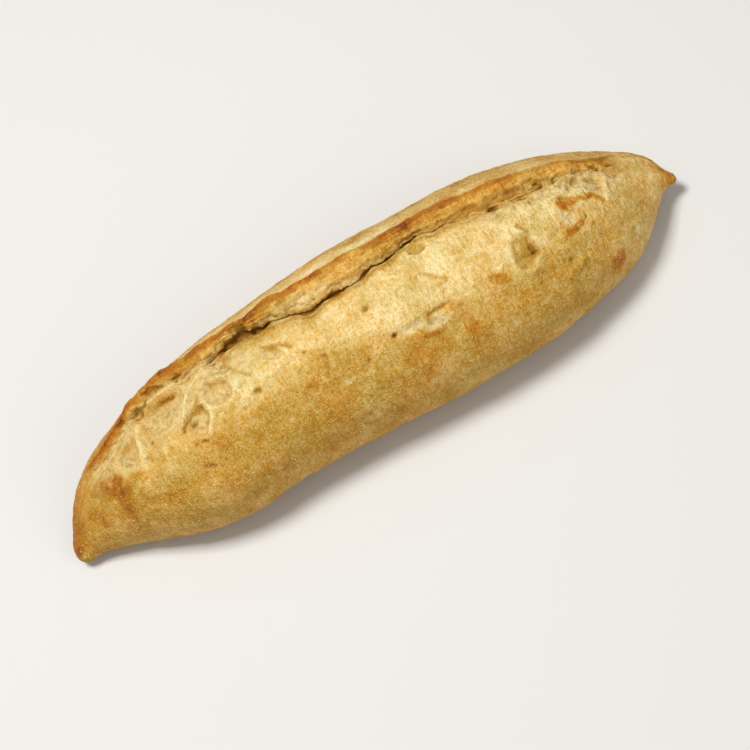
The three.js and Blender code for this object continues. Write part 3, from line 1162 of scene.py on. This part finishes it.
            # The rim is painted lighter, as a painted highlight.
            look.bake = lerp(look.bake, 0.46, shaded) - 0.08 * rim
            floor = inside * (0.7 + 0.3 * soft)
            return mark.amount * (0.25 * rim - floor + 0.2 * self.fbm(place, 1.5, 2) * inside)
        if mark.kind is DISH:
            # Painted shade on the dish's far side: a darker bake and stored painted shade.
            side = smooth(u, -0.8, 0.9)
            # The floor takes an olive bake, and the rim is painted lighter as a painted highlight.
            look.bake = lerp(look.bake, 0.34 + 0.08 * side, inside) - 0.05 * rim
            look.painted_shade = max(look.painted_shade, 0.2 * inside * side)
            look.crumb *= 1 - inside
            look.gloss = max(look.gloss, 0.4 * inside)
            return mark.amount * (0.25 * rim - inside * (0.45 + 0.55 * side))
        if mark.kind is DENT:
            # Painted shade in the low place: a darker bake and stored painted shade.
            look.bake += 0.06 * soft
            look.painted_shade = max(look.painted_shade, 0.1 * soft)
            return -mark.amount * soft
        patch = (1 - smooth(away, 0.45, 1.25)) * (0.8 + 0.6 * self.fbm(place, 2.0, 3))
        if mark.kind is BROWN:
            look.bake += mark.amount * patch
            look.warmth = max(look.warmth, 0.6 * min(1.0, 4 * mark.amount * patch))
            look.crumb *= 1 - 0.9 * min(1.0, patch)
            return 0.5 * mark.amount * patch
        scale = inside * smooth(self.fbm(place, 1.9, 3), -0.5, -0.1)
        look.crumb = max(look.crumb, mark.amount * scale)
        look.bake -= 0.3 * scale
        return -0.35 * mark.amount * scale + 0.25 * mark.amount * rim


@dataclass(frozen=True)
class BakedCrust:
    """Baked semolina crust: a dry starch skin, browned by heat.

    It gives the eye a golden tan that wanders to brown, with a soft gloss on the stretched parts.
    """

    name: str = "baked_semolina_crust"
    # From pale dough to dark brown: how far it baked, and its colour.
    ramp: tuple[tuple[float, int], ...] = (
        (0.0, 0xF7E7B4),
        (0.2, 0xE0BF74),
        (0.42, 0xC29230),
        (0.6, 0xB0740E),
        (0.78, 0x9C5C0A),
        (1.0, 0x6A3604),
    )
    crumb_dark: int = 0xB4924E
    crumb_pale: int = 0xDFC587
    # The dark brown of the painted shade in hollows, creases and the open crevice.
    painted_shade_colour: int = 0x7A5008
    # Painted shade in the pores and pinholes: the dark olive put into the small holes.
    pore_shade_colour: int = 0x9C7420
    # Painted shade in the lows of the wrinkles: the colour is multiplied by this olive tint there.
    wrinkle_shade_tint: int = 0xB08C40
    speck_colour: int = 0xEBD49A
    olive: int = 0xF4F6EC
    orange: int = 0xFFF6EA
    toasted: int = 0xFFE9B4
    ior: float = 1.45
    specular: float = 0.3
    roughest: float = 0.64
    smoothest: float = 0.42
    cloud_roughness: float = 0.6
    bake_shift: float = 0.87
    bump_height: float = 1.0

    def material(self) -> bpy.types.Material:
        """Builds the crust's material, which reads the baking and the painted shade stored on the
        mesh.

        Returns:
            The material.
        """
        material = empty_material(self.name)
        node = partial(add_node, material.node_tree)
        place = node(Node.COORDINATES, output="Object")
        stretched = node(Node.STRETCH, {"Vector": place, "Scale": (1.0, 0.3, 0.3)})
        bake, crumb, painted_shade, skin, gloss, warmth = (
            node(Node.ATTRIBUTE, output="Fac", attribute_name=name)
            for name in LOOK_NAMES
        )
        # Soft noise: what it is laid on, the size of its lumps in millimetres, and its detail.
        hue, wide, patches, meal, wrinkle, fine, streaks = (
            node(
                Node.CLOUD,
                {
                    "Vector": at,
                    "Scale": 1 / (size * MM),
                    "Detail": detail,
                    "Roughness": self.cloud_roughness,
                },
            )
            for at, size, detail in (
                (place, 14, 2),
                (place, 5, 4),
                (place, 5, 2),
                (place, 2.6, 2),
                (place, 1.7, 4),
                (place, 0.6, 2),
                (stretched, 0.9, 3),
            )
        )
        # Round spots: their spacing in millimetres.
        near_pimple, near_pore, near_pinhole, near_speck = (
            node(Node.CELLS, {"Vector": place, "Scale": 1 / (size * MM)}, output="Distance")
            for size in (1.0, 1.3, 2.1, 0.9)
        )
        # What is ranged, from where to where, and what that becomes.
        pimples, pores, pinholes, specks, hue, sparse, clumps, crumb_tone, wrinkle_shade = (
            node(
                Node.RANGE,
                {"Value": value, "From Min": low, "From Max": high, "To Min": start, "To Max": end},
                interpolation_type="SMOOTHSTEP",
            )
            for value, low, high, start, end in (
                (near_pimple, 0.08, 0.5, 1, 0),
                (near_pore, 0.1, 0.4, 0.24, 0),
                (near_pinhole, 0.06, 0.2, 0.28, 0),
                (near_speck, 0.14, 0.3, 0.45, 0),
                (hue, 0.35, 0.65, 0, 1),
                (patches, 0.5, 0.6, 0, 1),
                (meal, 0.46, 0.58, 0, 1),
                (wrinkle, 0.32, 0.66, 0, 1),
                # Painted shade: how much the lows of the wrinkles are darkened.
                (wrinkle, 0.36, 0.48, 0.2, 0),
            )
        )
        pimples, pores, pinholes, specks, bare, glossy_streaks = (
            node(Node.MATHS, {0: value, 1: share}, operation="MULTIPLY")
            for value, share in (
                (pimples, skin),
                (pores, crumb),
                (pinholes, sparse),
                (specks, clumps),
                (crumb, 0.8),
                (streaks, gloss),
            )
        )
        specks = node(Node.MATHS, {0: specks, 1: skin}, operation="MULTIPLY")

        # Baking wanders over a few millimetres, and the wrinkles break it up.
        baked = node(Node.MATHS, {0: bake, 1: self.bake_shift}, operation="SUBTRACT")
        for value, weight in (
            (wide, 0.38),
            (wrinkle, 0.52),
            (fine, 0.42),
            (streaks, 0.4),
            (pimples, -0.12),
        ):
            baked = node(Node.MATHS, {0: value, 1: weight, 2: baked}, operation="MULTIPLY_ADD")
        colour = node(Node.RAMP, {"Fac": baked})
        steps = colour.node.color_ramp.elements
        while len(steps) < len(self.ramp):
            steps.new(0.5)
        for step, (position, shade) in zip(steps, self.ramp):
            step.position, step.color = position, linear(shade)

        # The crust's hue drifts between olive and orange. Torn crumb is matt cream, with pores a
        # millimetre apart, and fine meal on the old skin shows as pale specks. The pores and
        # pinholes are painted dark as painted shade in the holes, and the wrinkles' lows are
        # darkened with painted shade.
        drift, torn = (
            node(Node.MIX, {0: share, 6: linear(a), 7: linear(b)}, output=2, data_type="RGBA")
            for share, a, b in (
                (hue, self.olive, self.orange),
                (crumb_tone, self.crumb_dark, self.crumb_pale),
            )
        )
        for share, paint, blend in (
            (1.0, drift, "MULTIPLY"),
            (warmth, linear(self.toasted), "MULTIPLY"),
            (bare, torn, "MIX"),
            # Painted shade in the wrinkle lows.
            (wrinkle_shade, linear(self.wrinkle_shade_tint), "MULTIPLY"),
            (pores, linear(self.pore_shade_colour), "MIX"),
            (pinholes, linear(self.pore_shade_colour), "MIX"),
            # Painted shade, mixed in as dark brown.
            (painted_shade, linear(self.painted_shade_colour), "MIX"),
            (specks, linear(self.speck_colour), "MIX"),
        ):
            inputs = {0: share, 6: colour, 7: paint}
            colour = node(Node.MIX, inputs, output=2, data_type="RGBA", blend_type=blend)

        shine = {"Value": gloss, "To Min": self.roughest, "To Max": self.smoothest}
        rough = node(Node.RANGE, shine)
        height = node(Node.MATHS, {0: wrinkle, 1: 0.85}, operation="MULTIPLY")
        for value, weight in (
            (fine, 0.3),
            (glossy_streaks, 1.2),
            (pimples, 0.12),
            (pores, -0.25),
            (pinholes, -0.25),
            (specks, 0.08),
        ):
            height = node(Node.MATHS, {0: value, 1: weight, 2: height}, operation="MULTIPLY_ADD")
        bump = {"Height": height, "Strength": 1.0, "Distance": self.bump_height * MM}
        surface = node(
            Node.SURFACE,
            {
                "Base Color": colour,
                "Roughness": rough,
                "IOR": self.ior,
                "Specular IOR Level": self.specular,
                "Normal": node(Node.BUMP, bump),
            },
        )
        node(Node.OUTPUT, {"Surface": surface})
        return material


@dataclass(frozen=True)
class SemolinaGrain:
    """Coarse semolina: hard bits of durum wheat, which give the eye pale yellow, dull specks."""

    name: str = "semolina_grain"
    pale: int = 0xE6CA88
    toasted: int = 0xC79846
    ior: float = 1.5
    roughness: float = 0.6
    shade_size: float = 1.2

    def material(self) -> bpy.types.Material:
        """Builds the grains' material, whose shade changes from grain to grain.

        Returns:
            The material.
        """
        material = empty_material(self.name)
        node = partial(add_node, material.node_tree)
        place = node(Node.COORDINATES, output="Object")
        scale = 1 / (self.shade_size * MM)
        shade = node(Node.CLOUD, {"Vector": place, "Scale": scale, "Detail": 1.0})
        tones = {0: shade, 6: linear(self.toasted), 7: linear(self.pale)}
        colour = node(Node.MIX, tones, output=2, data_type="RGBA")
        look = {"Base Color": colour, "Roughness": self.roughness, "IOR": self.ior}
        surface = node(Node.SURFACE, look)
        node(Node.OUTPUT, {"Surface": surface})
        return material


@dataclass(frozen=True)
class PalePaper:
    """Matt background paper, which gives the eye an even pale ground with no gloss."""

    name: str = "pale_background_paper"
    colour: int = 0xD6D4D0
    roughness: float = 0.9

    def material(self) -> bpy.types.Material:
        """Builds the floor's material.

        Returns:
            The material.
        """
        material = empty_material(self.name)
        node = partial(add_node, material.node_tree)
        look = {"Base Color": linear(self.colour), "Roughness": self.roughness}
        surface = node(Node.SURFACE, look)
        node(Node.OUTPUT, {"Surface": surface})
        return material


def mesh_object(name: str, bm: bmesh.types.BMesh, material: bpy.types.Material) -> bpy.types.Object:
    """Turns a finished bmesh into a smooth-shaded object with one material.

    Args:
        name: the piece's name.
        bm: its faces, in metres. It is freed here.
        material: the finish.

    Returns:
        The new object, at the origin.
    """
    mesh = bpy.data.meshes.new(name)
    for face in bm.faces:
        face.smooth = True
    bm.to_mesh(mesh)
    bm.free()
    mesh.materials.append(material)
    piece = bpy.data.objects.new(name, mesh)
    bpy.context.scene.collection.objects.link(piece)
    return piece


@dataclass
class LoafCrust:
    """The whole baked loaf as one skin, with the relief that the solid leaves out."""

    name: str = "crust"
    steps_along: int = 425
    end_crowding: float = 0.5
    merge_distance: float = 1e-4
    # How far from a section a mark and a fold may still matter, in their own sizes.
    mark_search: float = 1.7
    fold_search: float = 3.0
    shift: float = 0.0
    form: LoafForm = field(default_factory=LoafForm)
    relief: CrustRelief = field(default_factory=CrustRelief)
    finish: BakedCrust = field(default_factory=BakedCrust)

    def places(self) -> list[float]:
        """Spaces the cross sections along the loaf, closer together at the tips.

        Returns:
            The place of each section.
        """
        found = []
        for i in range(self.steps_along + 1):
            even = 2 * i / self.steps_along - 1
            crowded = -math.cos(math.pi * i / self.steps_along)
            found.append(self.form.length / 2 * lerp(even, crowded, self.end_crowding))
        return found

    def build(self, box: tuple[Vector, Vector]) -> bpy.types.Object:
        """Builds the crust.

        Args:
            box: the lowest and highest corner of the solid it stands for, in metres.

        Returns:
            The dressed crust.
        """
        spots = self.form.spots()
        bm = bmesh.new()
        bmesh.ops.create_grid(bm, x_segments=self.steps_along, y_segments=len(spots) - 1, size=0.5)
        column, row = self.wrap(bm, box, len(spots) - 1)
        bmesh.ops.remove_doubles(bm, verts=bm.verts, dist=self.merge_distance * MM)
        bmesh.ops.recalc_face_normals(bm, faces=bm.faces)
        bm.normal_update()
        self.raise_relief(bm, spots, column, row)
        piece = mesh_object(self.name, bm, self.finish.material())
        LOG.info("%s: %d faces", piece.name, len(piece.data.polygons))
        return piece

    def wrap(
        self, bm: bmesh.types.BMesh, box: tuple[Vector, Vector], rows: int
    ) -> tuple[bmesh.types.BMLayerItem, bmesh.types.BMLayerItem]:
        """Wraps a flat grid round the loaf's form, and keeps each vertex's column and row.

        Args:
            bm: the grid.
            box: the solid's box, whose middle the crust keeps.
            rows: the steps round a section.

        Returns:
            The layers that hold the column and the row.
        """
        places = self.places()
        rings = [self.form.ring(x) for x in places]
        front = min(point.x for ring in rings for point in ring)
        back = max(point.x for ring in rings for point in ring)
        self.shift = (box[0].y + box[1].y) / 2 / MM - (front + back) / 2
        column = bm.verts.layers.int.new("column")
        row = bm.verts.layers.int.new("row")
        # The flat grid runs from -0.5 to 0.5 both ways.
        for vertex in bm.verts:
            i = round((vertex.co.x + 0.5) * self.steps_along)
            j = round((vertex.co.y + 0.5) * rows)
            point = rings[i][j]
            if i in (0, self.steps_along):
                point = sum(rings[i][:-1], Vector((0, 0))) / rows
            vertex[column], vertex[row] = i, j
            vertex.co = Vector((places[i], point.x + self.shift, point.y)) * MM
        return column, row

    def raise_relief(
        self,
        bm: bmesh.types.BMesh,
        spots: list[tuple[Stretch, float]],
        column: bmesh.types.BMLayerItem,
        row: bmesh.types.BMLayerItem,
    ) -> None:
        """Lifts each vertex by the relief and stores its look on the mesh.

        Args:
            bm: the wrapped grid.
            spots: the stretch and share of each row.
            column: the layer with each vertex's column.
            row: the layer with each vertex's row.
        """
        layers = {name: bm.verts.layers.float.new(name) for name in LOOK_NAMES}
        marks, folds = self.relief.seated(self.form, self.shift)
        nearby = []
        for x in self.places():
            near_marks, near_folds = [], []
            for seat in marks:
                reach = self.mark_search * max(seat.mark.long, seat.mark.wide)
                if abs(seat.middle.x - x) < reach:
                    near_marks.append(seat)
            for seat in folds:
                reach = self.fold_search * seat.fold.width
                if min(p.x for p in seat.path) - reach < x < max(p.x for p in seat.path) + reach:
                    near_folds.append(seat)
            nearby.append((self.form.gape(x), near_marks, near_folds))
        for vertex in bm.verts:
            stretch, share = spots[vertex[row]]
            lift, look = self.relief.at(vertex.co / MM, stretch, share, *nearby[vertex[column]])
            vertex.co += vertex.normal * (lift * MM)
            vertex.co.z = max(vertex.co.z, 0.0)
            for name, layer in layers.items():
                vertex[layer] = min(max(getattr(look, name), 0.0), 1.0)


@dataclass
class SemolinaDusting:
    """The loose semolina that baked on to the skin, denser on the front than on the bloom."""

    name: str = "semolina_dusting"
    count: int = 3000
    smallest: float = 0.18
    largest: float = 0.34
    # A grain's length, width and height, and how deep it sits, as shares of its radius.
    lengths: tuple[float, float] = (0.8, 1.2)
    widths: tuple[float, float] = (0.7, 1.0)
    height: float = 0.6
    sunk: float = 0.35
    seed: int = 11
    finish: SemolinaGrain = field(default_factory=SemolinaGrain)

    def build(self, crust: bpy.types.Object) -> bpy.types.Object:
        """Scatters the grains over the crust.

        Args:
            crust: the dressed crust, whose stored skin value says where grains stick.

        Returns:
            One piece with every grain.
        """
        draw = random.Random(self.seed)
        mesh = crust.data
        skin = [item.value for item in mesh.attributes["skin"].data]
        clear = 2 * self.largest * MM
        weights = [
            face.area * sum(skin[v] for v in face.vertices) / len(face.vertices)
            if face.center.z > clear
            else 0.0
            for face in mesh.polygons
        ]
        bm = bmesh.new()
        for index in draw.choices(range(len(weights)), weights=weights, k=self.count):
            face = mesh.polygons[index]
            radius = draw.uniform(self.smallest, self.largest) * MM
            turn = face.normal.to_track_quat("Z", "Y").to_matrix().to_4x4()
            spin = Matrix.Rotation(draw.uniform(0, 2 * math.pi), 4, "Z")
            sides = (draw.uniform(*self.lengths), draw.uniform(*self.widths), self.height, 1)
            squash = Matrix.Diagonal(sides)
            raised = face.normal * radius * (self.height - self.sunk)
            place = Matrix.Translation(face.center + raised)
            seat = place @ turn @ spin @ squash
            bmesh.ops.create_icosphere(bm, subdivisions=1, radius=radius, matrix=seat)
        piece = mesh_object(self.name, bm, self.finish.material())
        LOG.info("%s: %d grains", piece.name, self.count)
        return piece


@dataclass(frozen=True)
class PhotoCamera:
    """The camera at the photograph's angle: high up in front, rolled to lay the loaf aslant."""

    elevation: float = math.radians(60)
    roll: float = math.radians(31.13)
    distance: float = 0.613
    lens: float = 85.0
    sensor: float = 36.0
    aim_height: float = 0.022
    frame: float = 750.0
    centre: tuple[float, float] = (360.1, 339.8)

    def build(self) -> bpy.types.Object:
        """Makes the camera and gives it to the scene.

        Returns:
            The camera.
        """
        data = bpy.data.cameras.new("photo_camera")
        data.lens = self.lens
        data.sensor_width = self.sensor
        data.clip_start, data.clip_end = 0.01, 20.0
        camera = bpy.data.objects.new("photo_camera", data)
        bpy.context.scene.collection.objects.link(camera)
        ahead = Vector((0, math.cos(self.elevation), -math.sin(self.elevation)))
        level = Vector((1, 0, 0))
        upright = level.cross(ahead)
        right = level * math.cos(self.roll) - upright * math.sin(self.roll)
        up = level * math.sin(self.roll) + upright * math.cos(self.roll)
        pixel = self.distance * self.sensor / self.lens / self.frame
        aside = [(c - self.frame / 2) * pixel for c in self.centre]
        eye = Vector((0, 0, self.aim_height)) - ahead * self.distance
        eye = eye - right * aside[0] + up * aside[1]
        turn = Matrix((right, up, -ahead)).transposed().to_4x4()
        camera.matrix_world = Matrix.Translation(eye) @ turn
        bpy.context.scene.camera = camera
        return camera


@dataclass(frozen=True)
class Lamp:
    """One soft studio lamp, aimed at the loaf."""

    name: str
    place: tuple[float, float, float]
    side: float
    watts: float

    def build(self) -> None:
        """Makes the lamp."""
        data = bpy.data.lights.new(self.name, "AREA")
        data.shape = "SQUARE"
        data.size = self.side
        data.energy = self.watts
        lamp = bpy.data.objects.new(self.name, data)
        bpy.context.scene.collection.objects.link(lamp)
        lamp.location = self.place
        lamp.rotation_euler = (-Vector(self.place)).to_track_quat("-Z", "Y").to_euler()


@dataclass
class Studio:
    """A pale floor, soft light from above with a weak fill from the front, and the camera."""

    floor_side: float = 6.0
    sky: int = 0xF4F3F1
    sky_strength: float = 0.36
    finish: PalePaper = field(default_factory=PalePaper)
    camera: PhotoCamera = field(default_factory=PhotoCamera)
    lamps: tuple[Lamp, ...] = (
        Lamp("overhead_softbox", (-0.25, 0.14, 1.1), 0.34, 11.8),
        Lamp("front_fill", (0.7, -1.0, 0.8), 0.9, 5.0),
    )

    def build(self) -> None:
        """Builds the floor, the light and the camera."""
        bm = bmesh.new()
        bmesh.ops.create_grid(bm, x_segments=1, y_segments=1, size=self.floor_side / 2)
        floor = mesh_object("floor", bm, self.finish.material())
        world = bpy.data.worlds.new("studio")
        bpy.context.scene.world = world
        world.use_nodes = True
        background = world.node_tree.nodes["Background"]
        background.inputs["Color"].default_value = linear(self.sky)
        background.inputs["Strength"].default_value = self.sky_strength
        for lamp in self.lamps:
            lamp.build()
        self.camera.build()
        bpy.context.scene.view_settings.view_transform = "Standard"
        LOG.info("studio: floor, %d lamps and camera", len(self.lamps))


def main() -> None:
    """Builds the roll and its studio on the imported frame."""
    logging.basicConfig(level=logging.INFO, format="%(name)s %(message)s")
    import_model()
    crust = LoafCrust().build(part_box("roll"))
    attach(crust, "root")
    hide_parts("roll")
    grains = SemolinaDusting().build(crust)
    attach(grains, "root")
    Studio().build()


if __name__ == "__main__":
    main()
